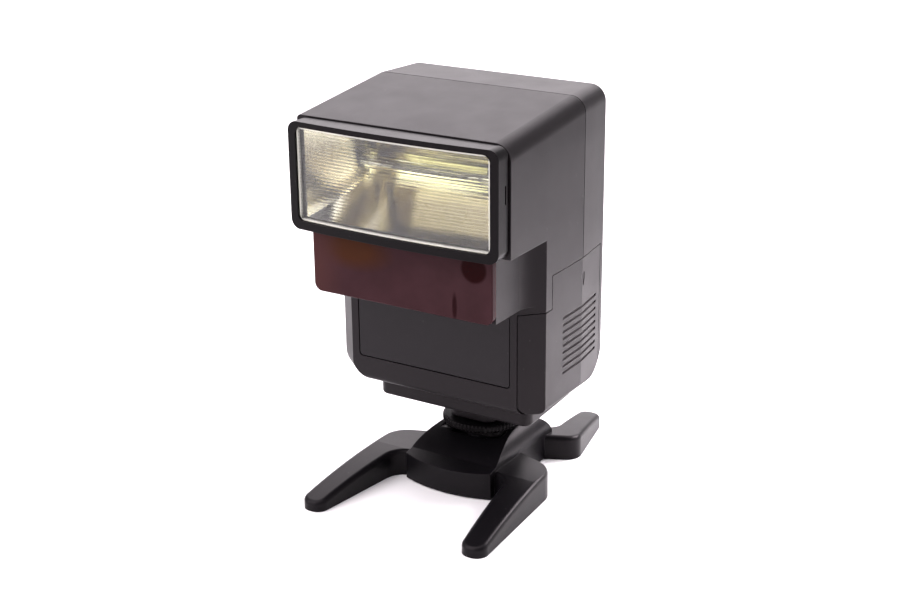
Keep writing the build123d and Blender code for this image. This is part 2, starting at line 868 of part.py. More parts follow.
# ---------------------------------------------------------------- batteries
cell_places = [
    (cells_y + dy * cell_pitch / 2, cells_z + dz * cell_pitch / 2)
    for dy in (-1, 1)
    for dz in (-1, 1)
]

with BuildPart() as aa_cells:
    for y, z in cell_places:
        with BuildSketch(Plane.YZ.offset(-23.5)):
            with Locations((y, z)):
                Circle(cell_r)
        extrude(amount=cell_length - 1.2)
        with BuildSketch(Plane.YZ.offset(-23.5 + cell_length - 1.2)):
            with Locations((y, z)):
                Circle(2.7)
        extrude(amount=1.2)
aa_cells.part.label = "aa_cells"

with BuildPart() as battery_tray:
    with BuildSketch(Plane.YZ.offset(-27.0)):
        with Locations((cells_y, cells_z)):
            RectangleRounded(33.2, 33.2, 4.0)
    extrude(amount=tray_end_x + 27.0)
    with BuildSketch(Plane.YZ.offset(-25.6)):
        for y, z in cell_places:
            with Locations((y, z)):
                Circle(cell_r + 0.2)
        with Locations((cells_y, cells_z)):
            Rectangle(cell_pitch, cell_pitch + 6.5)
    extrude(amount=60.0, mode=Mode.SUBTRACT)
battery_tray.part.label = "battery_tray"

with BuildPart() as tray_contacts:
    for dz in (-1, 1):
        z = cells_z + dz * cell_pitch / 2
        with BuildSketch(Plane.XZ.offset(-cells_y + 12)):
            with Locations((-25.3, z)):
                Rectangle(0.5, 6.4)
        extrude(amount=-24.0)
        for dy in (-1, 1):
            with BuildSketch(Plane.YZ.offset(-25.05)):
                with Locations((cells_y + dy * cell_pitch / 2, z)):
                    Circle(3.0)
            extrude(amount=1.5, taper=28)
tray_contacts.part.label = "tray_contacts"

# ---------------------------------------------------------------- battery door, with its hinge
groove_pitch = 2.2
pin_low_y = -17.8
pin_high_y = 7.8
ear_thick = 1.2
ear_r = 1.15
groove_low_z = 44.1

with BuildPart() as battery_door:
    add(front_solid)
    add(rear_solid)
    add(front_form(door_wall), mode=Mode.SUBTRACT)
    add(rear_form(door_wall), mode=Mode.SUBTRACT)
    add(door_region(0), mode=Mode.INTERSECT)
    # shallow arrow that shows which way it opens
    with BuildSketch(Plane.YZ.offset(case_half - 0.3)):
        with Locations((4.2, 71.4)):
            Circle(1.2)
        with BuildLine():
            Polyline((3.15, 70.8), (4.2, 68.0), (5.25, 70.8), close=True)
        make_face()
    extrude(amount=2, mode=Mode.SUBTRACT)
    # grip grooves across the bend of the side
    for step in range(9):
        level = groove_low_z + groove_pitch * step
        with BuildSketch(Plane.XY.offset(level - 0.45)):
            with BuildLine():
                Polyline(
                    (case_half - 0.5, -8.6),
                    (case_half + 2, -8.6),
                    (case_half + 2, 15.2),
                    (case_half - 0.5 - 1.4, 15.2),
                    (case_half - 0.5, seam_y),
                    close=True,
                )
            make_face()
        extrude(amount=0.9, mode=Mode.SUBTRACT)
    # room for the pin, and for the ears that hold its ends
    with BuildSketch(Plane.XZ.offset(-pin_high_y - 0.3)):
        with Locations((hinge_x, hinge_z)):
            Circle(pin_r + 0.3)
    extrude(amount=pin_high_y - pin_low_y + 0.6, mode=Mode.SUBTRACT)
    for ear_y in (pin_low_y, pin_high_y - ear_thick):
        with BuildSketch(Plane.XZ.offset(-ear_y - ear_thick - 0.3)):
            with Locations((hinge_x, hinge_z)):
                Circle(ear_r + 0.35)
            with Locations((hinge_x - 1.9, hinge_z - 1.0)):
                Rectangle(4.4, 6.0)
        extrude(amount=ear_thick + 0.6, mode=Mode.SUBTRACT)
    # knuckles round the hinge pin
    for knuckle_y in (pin_low_y + 2.0, pin_high_y - 7.0):
        with BuildSketch(Plane.XZ.offset(-knuckle_y - 5.0)):
            with Locations((hinge_x, hinge_z)):
                Circle(1.7)
        extrude(amount=5.0)
        with BuildSketch(Plane.XZ.offset(-knuckle_y - 5.0)):
            with Locations((hinge_x, hinge_z)):
                Circle(pin_r + 0.05)
        extrude(amount=5.0, mode=Mode.SUBTRACT)
battery_door.part.label = "battery_door"

with BuildPart() as door_hinge_pin:
    with BuildSketch(Plane.XZ.offset(-pin_high_y)):
        with Locations((hinge_x, hinge_z)):
            Circle(pin_r)
    extrude(amount=pin_high_y - pin_low_y)
door_hinge_pin.part.label = "door_hinge_pin"

with BuildPart() as hinge_bracket:
    # strap behind the door, carried by an arm from the battery tray
    with BuildSketch(Plane.YZ.offset(31.6)):
        with Locations(((pin_low_y + pin_high_y) / 2, 43.0)):
            Rectangle(pin_high_y - pin_low_y, 2.4)
    extrude(amount=1.0)
    with BuildSketch(Plane.YZ.offset(tray_end_x)):
        with Locations((cells_y, 42.5)):
            Rectangle(2.0, 1.4)
    extrude(amount=32.0 - tray_end_x)
    for ear_y in (pin_low_y, pin_high_y - ear_thick):
        with BuildSketch(Plane.XZ.offset(-ear_y - ear_thick)):
            with Locations((hinge_x - 0.7, hinge_z + 2.85)):
                Rectangle(1.4, 5.7)
            with Locations((hinge_x, hinge_z)):
                Circle(ear_r)
                Circle(pin_r, mode=Mode.SUBTRACT)
        extrude(amount=ear_thick)
    with BuildSketch(Plane.XZ.offset(-pin_high_y)):
        with Locations((hinge_x, hinge_z)):
            Circle(pin_r)
    extrude(amount=pin_high_y - pin_low_y, mode=Mode.SUBTRACT)
hinge_bracket.part.label = "hinge_bracket"

with BuildPart() as door_contacts:
    for dy in (-1, 1):
        y = cells_y + dy * cell_pitch / 2
        with BuildSketch(Plane.XZ.offset(-y + 2.5)):
            with BuildLine():
                Polyline(
                    (case_half - door_wall - 0.08, cells_z - 9.0),
                    (case_half - door_wall - 0.08, cells_z + 9.0),
                    (case_half - door_wall - 0.5, cells_z + 9.0),
                    (case_half - door_wall - 0.5, cells_z + 3.0),
                    (case_half - door_wall - 4.6, cells_z),
                    (case_half - door_wall - 0.5, cells_z - 3.0),
                    (case_half - door_wall - 0.5, cells_z - 9.0),
                    close=True,
                )
            make_face()
        extrude(amount=-5.0)
door_contacts.part.label = "door_contacts"

# ---------------------------------------------------------------- base, foot and lock
with BuildPart() as base_block:
    with BuildSketch(Plane.XY.offset(base_z)):
        with BuildLine():
            FilletPolyline(
                (-base_half, base_front_y),
                (base_half, base_front_y),
                (base_half - 1.5, 18.5),
                (-base_half + 1.5, 18.5),
                radius=(3.0, 3.0, 5.0, 5.0),
                close=True,
            )
        make_face()
    extrude(amount=body_z - base_z)
    fillet(base_block.faces().sort_by(Axis.Z)[0].edges(), 1.0)
    with BuildSketch(Plane.XY.offset(collar_z)):
        with Locations((0, foot_y)):
            RectangleRounded(17.0, 17.0, 4.0)
    extrude(amount=base_z - collar_z)
    with Locations(Plane.XY.offset(collar_z)):
        with Locations((0, foot_y)):
            Hole(stem_r, depth=30)
    with BuildSketch(Plane.XY.offset(body_z - 2.4)):
        with Locations((0, foot_y)):
            Circle(9.0)
    extrude(amount=2.4, mode=Mode.SUBTRACT)
    with BuildSketch(Plane.XY.offset(base_z - 1)):
        with Locations((0, foot_y)):
            with GridLocations(38, 20, 2, 2):
                Circle(1.5)
    extrude(amount=body_z - base_z + 1, mode=Mode.SUBTRACT)
base_block.part.label = "base_block"

with BuildPart() as shoe_foot:
    with BuildSketch(Plane.XY.offset(foot_z)):
        with Locations((0, foot_y)):
            Rectangle(foot_width, foot_length)
    extrude(amount=foot_thick)
    chamfer(shoe_foot.edges().filter_by(Axis.Z), 0.8)
    with BuildSketch(Plane.XY.offset(foot_z + foot_thick)):
        with Locations((0, foot_y)):
            Circle(stem_r)
    extrude(amount=body_z - 2.4 - foot_z - foot_thick)
    with BuildSketch(Plane.XY.offset(body_z - 2.4)):
        with Locations((0, foot_y)):
            Circle(8.8)
    extrude(amount=2.2)
    with BuildSketch(Plane.XY.offset(foot_z)):
        with Locations((0, foot_y)):
            Circle(4.4)
    extrude(amount=40, mode=Mode.SUBTRACT)
shoe_foot.part.label = "shoe_foot"

pin_places = {
    "centre_pin": (0.0, 0.0, 1.2),
    "left_pin": (-2.4, 2.2, 0.6),
    "right_pin": (2.4, 2.2, 0.6),
    "signal_pin": (0.0, -2.9, 0.6),
}

with BuildPart() as pin_holder:
    with BuildSketch(Plane.XY.offset(foot_z + 0.2)):
        with Locations((0, foot_y)):
            Circle(4.38)
    extrude(amount=8.0)
    for dx, dy, radius in pin_places.values():
        with BuildSketch(Plane.XY.offset(foot_z - 1)):
            with Locations((dx, foot_y + dy)):
                Circle(radius + 0.05)
        extrude(amount=4.0, mode=Mode.SUBTRACT)
        with BuildSketch(Plane.XY.offset(foot_z + 3.0)):
            with Locations((dx, foot_y + dy)):
                Circle(radius + 0.4)
        extrude(amount=4.6, mode=Mode.SUBTRACT)
pin_holder.part.label = "pin_holder"

pin_reach = 0.7
pin_parts = {}
for pin_name, (dx, dy, radius) in pin_places.items():
    with BuildPart() as contact_pin:
        with BuildSketch(Plane.XY.offset(foot_z - pin_reach)):
            with Locations((dx, foot_y + dy)):
                Circle(radius)
        extrude(amount=3.0 + pin_reach + 0.6)
        with BuildSketch(Plane.XY.offset(foot_z + 3.05)):
            with Locations((dx, foot_y + dy)):
                Circle(radius + 0.3)
        extrude(amount=0.8)
        fillet(contact_pin.faces().sort_by(Axis.Z)[0].edges(), radius * 0.45)
    contact_pin.part.label = pin_name
    pin_parts[pin_name] = contact_pin.part

with BuildPart() as pin_springs:
    for dx, dy, radius in pin_places.values():
        with BuildSketch(Plane.XY.offset(foot_z + 4.6)):
            with Locations((dx, foot_y + dy)):
                Circle(radius + 0.3)
                Circle(radius, mode=Mode.SUBTRACT)
        extrude(amount=3.0)
pin_springs.part.label = "pin_springs"

with BuildPart() as lock_wheel:
    with BuildSketch(Plane.XY.offset(wheel_z)):
        with Locations((0, foot_y)):
            Circle(wheel_r)
            Circle(stem_r + 0.06, mode=Mode.SUBTRACT)
            with PolarLocations(wheel_r, 60):
                Circle(0.36, mode=Mode.SUBTRACT)
    extrude(amount=wheel_top_z - wheel_z)
lock_wheel.part.label = "lock_wheel"

with BuildPart() as clamp_plate:
    with BuildSketch(Plane.XY.offset(14.8)):
        with Locations((0, foot_y)):
            RectangleRounded(20.0, 17.6, 3.0)
            Circle(stem_r + 0.1, mode=Mode.SUBTRACT)
    extrude(amount=1.3)
clamp_plate.part.label = "clamp_plate"

with BuildPart() as foot_screws:
    with BuildSketch(Plane.XY.offset(base_z + 0.2)):
        with Locations((0, foot_y)):
            with GridLocations(38, 20, 2, 2):
                Circle(1.45)
    extrude(amount=body_z - base_z - 0.4)
foot_screws.part.label = "foot_screws"

# ---------------------------------------------------------------- leads inside the case
lead_r = 0.6
lead_routes = [
    [
        (side * 31.6, focus_y, optic_z),
        (side * 31.6, -14.0, optic_z),
        (side * 31.6, -2.0, 96.0),
        (side * 22.8, 10.4, 92.0),
    ]
    for side in (-1, 1)
]

with BuildPart() as tube_leads:
    for route in lead_routes:
        with BuildLine() as lead_path:
            FilletPolyline(*route, radius=4.0)
        with BuildSketch(Plane(origin=route[0], z_dir=lead_path.line % 0)):
            Circle(lead_r)
        sweep(path=lead_path.line)
tube_leads.part.label = "tube_leads"

# ---------------------------------------------------------------- write every piece
pieces = [
    stand_body, tripod_bush, front_shell, rear_shell, case_screws, bezel, fresnel_lens, reflector,
    flash_tube, tube_grommets, trigger_coil, af_window, af_lens, af_lamp_holder, af_lamp,
    pattern_slide, control_board, name_panel, main_capacitor, main_board, transformer,
    power_transistor, rear_panel, power_slider, power_switch, test_button, button_spring,
    test_switch, ready_lamp, aa_cells, battery_tray, tray_contacts, battery_door, door_hinge_pin,
    hinge_bracket, door_contacts, base_block, shoe_foot, pin_holder, pin_springs, lock_wheel,
    clamp_plate, foot_screws, tube_leads,
]
for piece in pieces:
    export_step(piece.part, f"parts/{piece.part.label}.step")
for part_name, solid in pin_parts.items():
    export_step(solid, f"parts/{part_name}.step")
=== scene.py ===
"""Speedlight flash in its four-legged table stand: looks, light and camera.

Metres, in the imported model's own frame: +Z up, the flash facing -Y.
"""

import json
import math

import bmesh
import bpy
from mathutils import Matrix, Vector


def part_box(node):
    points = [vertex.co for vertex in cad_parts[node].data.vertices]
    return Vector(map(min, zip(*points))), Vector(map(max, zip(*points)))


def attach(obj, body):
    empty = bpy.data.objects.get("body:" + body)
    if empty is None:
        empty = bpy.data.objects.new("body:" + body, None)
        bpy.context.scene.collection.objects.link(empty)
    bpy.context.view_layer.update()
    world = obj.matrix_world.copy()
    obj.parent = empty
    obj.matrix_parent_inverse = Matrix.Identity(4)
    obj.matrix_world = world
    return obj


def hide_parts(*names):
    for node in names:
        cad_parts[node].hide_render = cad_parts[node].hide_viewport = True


MM = 0.001

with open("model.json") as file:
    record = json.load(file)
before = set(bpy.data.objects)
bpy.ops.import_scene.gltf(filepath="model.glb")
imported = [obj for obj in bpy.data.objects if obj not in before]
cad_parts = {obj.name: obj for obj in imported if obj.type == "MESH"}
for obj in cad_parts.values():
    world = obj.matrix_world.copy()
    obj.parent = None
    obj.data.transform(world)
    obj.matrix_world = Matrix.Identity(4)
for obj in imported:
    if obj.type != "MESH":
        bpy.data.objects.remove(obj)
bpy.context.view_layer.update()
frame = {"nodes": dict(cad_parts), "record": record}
nodes = frame["nodes"]


# ---------------------------------------------------------------- shader helpers
BEVEL_SAMPLES = 6
EDGE_MASK_AT = (0.86, 0.995)
WAVE_TURN = 2 * math.pi / 20


class Shader:
    """One material: a Principled shader, with short calls for the nodes that feed it."""

    def __init__(self, name):
        self.material = bpy.data.materials.new(name)
        self.material.use_nodes = True
        tree = self.material.node_tree
        tree.nodes.clear()
        self.nodes = tree.nodes
        self.links = tree.links
        output = self.nodes.new("ShaderNodeOutputMaterial")
        self.bsdf = self.nodes.new("ShaderNodeBsdfPrincipled")
        self.links.new(self.bsdf.outputs["BSDF"], output.inputs["Surface"])
        self.place = self.nodes.new("ShaderNodeTexCoord").outputs["Object"]

    def set(self, **values):
        """Constants, straight on the shader's sockets."""
        for key, value in values.items():
            self.bsdf.inputs[key.replace("_", " ")].default_value = value

    def noise(self, size_mm, detail=3.0, stretch=(1, 1, 1)):
        """Noise with features of about the given size, from the object's own coordinates."""
        mapping = self.nodes.new("ShaderNodeMapping")
        mapping.inputs["Scale"].default_value = [s / (size_mm * MM) for s in stretch]
        self.links.new(self.place, mapping.inputs["Vector"])
        texture = self.nodes.new("ShaderNodeTexNoise")
        texture.inputs["Scale"].default_value = 1.0
        texture.inputs["Detail"].default_value = detail
        self.links.new(mapping.outputs["Vector"], texture.inputs["Vector"])
        return texture.outputs["Fac"]

    def cells(self, size_mm):
        """Small pebbles, as a moulded surface has."""
        mapping = self.nodes.new("ShaderNodeMapping")
        mapping.inputs["Scale"].default_value = [1 / (size_mm * MM)] * 3
        self.links.new(self.place, mapping.inputs["Vector"])
        texture = self.nodes.new("ShaderNodeTexVoronoi")
        texture.inputs["Scale"].default_value = 1.0
        self.links.new(mapping.outputs["Vector"], texture.inputs["Vector"])
        return texture.outputs["Distance"]

    def blob(self, centre_mm, size_mm, soft=0.2):
        """A mask that is 1 inside an ellipsoid and 0 outside it."""
        offset = self.nodes.new("ShaderNodeVectorMath")
        offset.operation = "SUBTRACT"
        offset.inputs[1].default_value = [c * MM for c in centre_mm]
        self.links.new(self.place, offset.inputs[0])
        scaled = self.nodes.new("ShaderNodeVectorMath")
        scaled.operation = "DIVIDE"
        scaled.inputs[1].default_value = [s * MM for s in size_mm]
        self.links.new(offset.outputs["Vector"], scaled.inputs[0])
        length = self.nodes.new("ShaderNodeVectorMath")
        length.operation = "LENGTH"
        self.links.new(scaled.outputs["Vector"], length.inputs[0])
        return self.spread(length.outputs["Value"], 1.0, 0.0, at=(1 - soft, 1 + soft))

    def ribs(self, pitch_mm):
        """Fine level lines, one every pitch_mm up the piece."""
        wave = self.nodes.new("ShaderNodeTexWave")
        wave.wave_type = "BANDS"
        wave.bands_direction = "Z"
        # the texture repeats each time its scaled coordinate grows by WAVE_TURN
        wave.inputs["Scale"].default_value = WAVE_TURN / (pitch_mm * MM)
        wave.inputs["Distortion"].default_value = 0.0
        self.links.new(self.place, wave.inputs["Vector"])
        return wave.outputs["Fac"]

    def ramp(self, factor, stops):
        """Colours by factor: (position, colour) stops."""
        node = self.nodes.new("ShaderNodeValToRGB")
        elements = node.color_ramp.elements
        while len(elements) < len(stops):
            elements.new(0.5)
        for element, (position, colour) in zip(elements, stops):
            element.position = position
            element.color = (*colour, 1.0)
        self.links.new(factor, node.inputs["Fac"])
        return node.outputs["Color"]

    def spread(self, factor, low, high, at=(0.3, 0.7)):
        """Factor stretched to run from low to high."""
        node = self.nodes.new("ShaderNodeMapRange")
        node.inputs["From Min"].default_value = at[0]
        node.inputs["From Max"].default_value = at[1]
        node.inputs["To Min"].default_value = low
        node.inputs["To Max"].default_value = high
        self.links.new(factor, node.inputs["Value"])
        return node.outputs["Result"]

    def mix(self, factor, first, second):
        """A colour between first and second, each a colour or a socket."""
        node = self.nodes.new("ShaderNodeMix")
        node.data_type = "RGBA"
        self.links.new(factor, node.inputs["Factor"])
        # sockets 6 and 7 are the node's two colours, and output 2 is the mixed colour
        for socket, value in ((node.inputs[6], first), (node.inputs[7], second)):
            if isinstance(value, bpy.types.NodeSocket):
                self.links.new(value, socket)
            else:
                socket.default_value = (*value, 1.0)
        return node.outputs[2]

    def soft_edges(self, radius_mm):
        """A normal that rounds sharp edges, and a mask that is 1 along them."""
        bevel = self.nodes.new("ShaderNodeBevel")
        bevel.samples = BEVEL_SAMPLES
        bevel.inputs["Radius"].default_value = radius_mm * MM
        geometry = self.nodes.new("ShaderNodeNewGeometry")
        dot = self.nodes.new("ShaderNodeVectorMath")
        dot.operation = "DOT_PRODUCT"
        self.links.new(bevel.outputs["Normal"], dot.inputs[0])
        self.links.new(geometry.outputs["Normal"], dot.inputs[1])
        edge = self.spread(dot.outputs["Value"], 1.0, 0.0, at=EDGE_MASK_AT)
        return bevel.outputs["Normal"], edge

    def bump(self, height, depth_mm, normal=None):
        """Relief from a height, on top of another normal."""
        node = self.nodes.new("ShaderNodeBump")
        node.inputs["Distance"].default_value = depth_mm * MM
        node.inputs["Strength"].default_value = 1.0
        self.links.new(height, node.inputs["Height"])
        if normal is not None:
            self.links.new(normal, node.inputs["Normal"])
        return node.outputs["Normal"]

    def feed(self, **sockets):
        """Links to the shader's sockets."""
        for key, value in sockets.items():
            self.links.new(value, self.bsdf.inputs[key.replace("_", " ")])
        return self.material


PLASTIC_EDGE_MM = 0.3
FINE_EDGE_MM = 0.15
PLASTIC_GRAIN_DEPTH_MM = 0.010
PLASTIC_PATCHINESS = 0.05
PLASTIC_EDGE_LIFT = 1.5
PLASTIC_DUST_LIFT = 0.07
PLASTIC_TINT = (1.0, 0.93, 0.97, 1.0)


def plastic(name, colour, rough=0.42, specular=0.155, grain_mm=0.3):
    """Moulded plastic: fine grain, faint patches where it is handled, lighter along its edges."""
    shader = Shader(name)
    normal, edge_mask = shader.soft_edges(PLASTIC_EDGE_MM)
    patches = shader.noise(16, detail=4)
    worn = [min(1.0, c * (1 + PLASTIC_PATCHINESS)) for c in colour]
    dull = [c * (1 - PLASTIC_PATCHINESS) for c in colour]
    base = shader.ramp(patches, [(0.35, dull), (0.65, worn)])
    dust = shader.spread(shader.noise(1.1, detail=1), 0.0, 0.5, at=(0.76, 0.84))
    dusted = shader.mix(dust, base, [c + PLASTIC_DUST_LIFT for c in colour])
    rubbed = shader.mix(edge_mask, dusted, [min(1.0, c * PLASTIC_EDGE_LIFT + 0.003) for c in colour])
    roughness = shader.spread(shader.noise(9, detail=3), rough - 0.02, rough + 0.02)
    relief = shader.bump(shader.cells(grain_mm), PLASTIC_GRAIN_DEPTH_MM, normal)
    shader.set(IOR=1.5, Specular_IOR_Level=specular, Specular_Tint=PLASTIC_TINT)
    return shader.feed(Base_Color=rubbed, Roughness=roughness, Normal=relief)


METAL_MARK_MM = 0.6
METAL_MARK_DEPTH_MM = 0.006


def metal(name, colour, rough=0.3, brushed=(1, 1, 1)):
    """Metal with drawn or rolled marks and a little dulling."""
    shader = Shader(name)
    normal, edge_mask = shader.soft_edges(FINE_EDGE_MM)
    marks = shader.noise(METAL_MARK_MM, detail=5, stretch=brushed)
    base = shader.ramp(marks, [(0.3, [c * 0.86 for c in colour]), (0.7, colour)])
    bright = shader.mix(edge_mask, base, [min(1.0, c * 1.15) for c in colour])
    roughness = shader.spread(shader.noise(3.0, detail=4), rough - 0.07, rough + 0.09)
    shader.set(Metallic=1.0)
    relief = shader.bump(marks, METAL_MARK_DEPTH_MM, normal)
    return shader.feed(Base_Color=bright, Roughness=roughness, Normal=relief)


def tinted_glass(name, colour, weight=0.85, ior=1.49, specular=0.5):
    """Clear or tinted moulded plastic, a little uneven in tint and gloss."""
    shader = Shader(name)
    patches = shader.noise(9.0, detail=2)
    base = shader.ramp(patches, [(0.3, [c * 0.9 for c in colour]), (0.7, colour)])
    shader.set(Transmission_Weight=weight, IOR=ior, Specular_IOR_Level=specular)
    roughness = shader.spread(shader.noise(3.0, detail=4), 0.04, 0.07)
    return shader.feed(Base_Color=base, Roughness=roughness)


def lacquer(name, colour, spot, size_mm=1.6):
    """Glossy printed, taped or lacquered surface with small spots."""
    shader = Shader(name)
    normal, edge_mask = shader.soft_edges(FINE_EDGE_MM)
    shaded = [c * 0.8 for c in colour]
    base = shader.ramp(shader.cells(size_mm), [(0.10, spot), (0.16, colour), (0.9, shaded)])
    rubbed = shader.mix(edge_mask, base, [min(1.0, c * 1.3 + 0.01) for c in colour])
    roughness = shader.spread(shader.noise(2.0), 0.25, 0.38)
    relief = shader.bump(shader.noise(0.5), 0.01, normal)
    shader.set(Coat_Weight=0.3, Coat_Roughness=0.15)
    return shader.feed(Base_Color=rubbed, Roughness=roughness, Normal=relief)


def mirror_sheet(name):
    """Bright rolled aluminium with a straw tint, and painted light on it: a painted highlight behind the
    tube, painted shade low down towards the right, a painted sheen on the left end wall and a painted dark
    upright band near the left end.
    """
    shader = Shader(name)
    low, high = (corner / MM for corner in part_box("reflector"))
    centre = (low + high) / 2
    lines = shader.noise(1.0, detail=6, stretch=(0.02, 1, 1))
    streaks = shader.noise(5, detail=3, stretch=(0.12, 1, 1))
    straw = [(0.35, (0.74, 0.69, 0.47)), (0.5, (0.90, 0.87, 0.66)), (0.68, (0.97, 0.96, 0.84))]
    sheet = shader.ramp(streaks, straw)
    # painted shade: the sheet darker low down towards the right
    lower = shader.blob((centre.x + 14, low.y + 6, low.z + 2), (40, 17, 9), soft=0.3)
    low_shaded = shader.mix(lower, sheet, (0.38, 0.35, 0.26))
    # painted highlight: a bright warm spot on the sheet behind the tube
    painted_highlight = shader.blob((centre.x + 10, high.y, centre.z - 1.5), (26, 8, 3.4), soft=0.4)
    highlit = shader.mix(painted_highlight, low_shaded, (0.93, 0.91, 0.62))
    # painted sheen: the left end wall near white, a painted reflection
    ends = shader.blob((low.x, low.y, centre.z), (10.5, 26, 30), soft=0.12)
    end_sheened = shader.mix(ends, highlit, (0.97, 0.98, 1.0))
    # painted shade: a dark upright band near the left end of the sheet
    painted_dark_band = shader.blob((low.x + 16, high.y, centre.z), (4.4, 60, 80), soft=0.3)
    tinted = shader.mix(painted_dark_band, end_sheened, (0.19, 0.15, 0.06))
    shader.set(Metallic=1.0)
    roughness = shader.spread(lines, 0.05, 0.14)
    return shader.feed(Base_Color=tinted, Roughness=roughness, Normal=shader.bump(lines, 0.008))


LENS_FROST = (0.74, 0.74, 0.66)
LENS_FROST_PASSES = (0.35, 0.35, 0.35)
LENS_RIB_PITCH_MM = 0.98
UNBOUNDED_MM = 1000


def clear_lens(name):
    """Clear moulded plastic, frosted along its four edges, with painted shade on one slope of each rib."""
    shader = Shader(name)
    low, high = (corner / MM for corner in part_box("fresnel_lens"))
    centre, half = (low + high) / 2, (high - low) / 2
    across = shader.blob(centre, (half.x - 1.1, UNBOUNDED_MM, UNBOUNDED_MM), soft=0.006)
    upright = shader.blob(centre, (UNBOUNDED_MM, UNBOUNDED_MM, half.z - 1.35), soft=0.012)
    haze = shader.noise(6, detail=3)
    clear = shader.ramp(haze, [(0.3, (0.95, 0.97, 0.95)), (0.7, (1.0, 1.0, 1.0))])
    # painted shade: one slope of each rib a little darker, as light falls on it
    steps = shader.spread(shader.ribs(LENS_RIB_PITCH_MM), 0.0, 1.0, at=(0.55, 0.95))
    ribbed = shader.mix(steps, clear, (0.52, 0.51, 0.43))
    edged = shader.mix(across, LENS_FROST, shader.mix(upright, LENS_FROST, ribbed))
    through = shader.mix(upright, LENS_FROST_PASSES, (1.0, 1.0, 1.0))
    passing = shader.mix(across, LENS_FROST_PASSES, through)
    shader.set(IOR=1.49)
    roughness = shader.spread(haze, 0.0, 0.03)
    return shader.feed(Base_Color=edged, Transmission_Weight=passing, Roughness=roughness)


def smoked_window(name):
    """Dark red smoked plastic: hazy, amber over the slide, deep red where the lamp's lens is behind it; a
    painted lighter left part and painted highlights along its edges.
    """
    shader = Shader(name)
    low, high = (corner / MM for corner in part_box("af_window"))
    lens = (Vector(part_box("af_lens")[0]) + Vector(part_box("af_lens")[1])) / 2 / MM
    smoke = [(0.3, (0.027, 0.011, 0.013)), (0.7, (0.036, 0.015, 0.018))]
    haze = shader.ramp(shader.noise(11, detail=3), smoke)
    amber = shader.blob((low.x + 14, low.y, high.z - 4.5), (11, 20, 5), soft=0.4)
    warm = shader.mix(amber, haze, (0.042, 0.014, 0.006))
    # painted light: the left part of the window lighter, as light falls there
    pale = shader.blob((low.x, low.y, (low.z + high.z) / 2), (7, 20, 16), soft=0.6)
    side = shader.mix(pale, warm, (0.048, 0.019, 0.019))
    deep = shader.blob((lens.x + 0.8, low.y, lens.z + 2.0), (4.1, 20, 4.0), soft=0.10)
    spotted = shader.mix(deep, side, (0.010, 0.0002, 0.0006))
    wedge = shader.blob((lens.x - 5.6, low.y, low.z + 3.8), (0.75, 20, 3.9), soft=0.3)
    marked = shader.mix(wedge, spotted, (0.012, 0.002, 0.003))
    normal, edge_mask = shader.soft_edges(PLASTIC_EDGE_MM)
    # painted highlight: a light red line along the window's edges
    edged = shader.mix(edge_mask, marked, (0.15, 0.05, 0.05))
    shader.set(Transmission_Weight=0.03, IOR=1.49, Specular_IOR_Level=0.02)
    roughness = shader.spread(shader.noise(5.0, detail=3), 0.04, 0.08)
    return shader.feed(Base_Color=edged, Roughness=roughness, Normal=normal)


SHELL = (0.0068, 0.0056, 0.0064)
STAND = (0.0036, 0.0032, 0.0040)
BEZEL = (0.0020, 0.0017, 0.0019)
PANEL = (0.0066, 0.0060, 0.0070)
materials = {
    "case_black": plastic("case_plastic", SHELL),
    "stand_black": plastic("stand_plastic", STAND, rough=0.33, specular=0.12, grain_mm=0.24),
    "bezel_black": plastic("bezel_plastic", BEZEL, rough=0.33, specular=0.09, grain_mm=0.22),
    "panel_black": plastic("panel_plastic", PANEL, rough=0.36, specular=0.18, grain_mm=0.25),
    "inner_black": plastic("inner_plastic", (0.012, 0.012, 0.012), rough=0.55),
    "control_grey": plastic("control_plastic", (0.16, 0.16, 0.17), rough=0.45, specular=0.4),
    "chip_black": plastic("chip_plastic", (0.02, 0.02, 0.022), rough=0.6),
    "clear_lens": clear_lens("clear_lens_plastic"),
    "window_red": smoked_window("window_plastic"),
    "lens_red": tinted_glass("small_lens_plastic", (0.40, 0.01, 0.02), specular=0.3),
    "lamp_red": tinted_glass("lamp_plastic", (0.85, 0.06, 0.04), weight=0.6),
    "tube_glass": tinted_glass("tube_glass", (0.93, 0.95, 0.86), weight=1.0, ior=1.46),
    "reflector_bright": mirror_sheet("rolled_reflector"),
    "foot_metal": metal("blackened_foot", (0.055, 0.053, 0.058), rough=0.40, brushed=(0.1, 1, 1)),
    "bracket_steel": metal("stamped_bracket", (0.5, 0.5, 0.5), rough=0.38, brushed=(1, 0.1, 1)),
    "screw_steel": metal("zinc_screw", (0.30, 0.31, 0.33), rough=0.3),
    "spring_steel": metal("spring_wire", (0.6, 0.6, 0.6), rough=0.25),
    "contact_nickel": metal("nickel_contact", (0.72, 0.70, 0.66), rough=0.2),
    "brass_thread": metal("turned_brass", (0.72, 0.52, 0.22), rough=0.25),
    "grommet_rubber": plastic("grommet_rubber", (0.35, 0.16, 0.11), rough=0.6),
    "lead_red": plastic("lead_insulation", (0.45, 0.03, 0.03), rough=0.5),
    "coil_yellow": lacquer("coil_tape", (0.62, 0.42, 0.08), (0.5, 0.3, 0.05)),
    "slide_amber": lacquer("printed_slide", (0.50, 0.16, 0.03), (0.3, 0.08, 0.02), size_mm=2.5),
    "board_green": lacquer("board_lacquer", (0.03, 0.17, 0.07), (0.55, 0.55, 0.5)),
    "capacitor_black": lacquer("capacitor_sleeve", (0.02, 0.02, 0.035), (0.03, 0.03, 0.05)),
    "cell_jacket": lacquer("cell_jacket", (0.08, 0.16, 0.36), (0.1, 0.18, 0.4), size_mm=3.0),
}

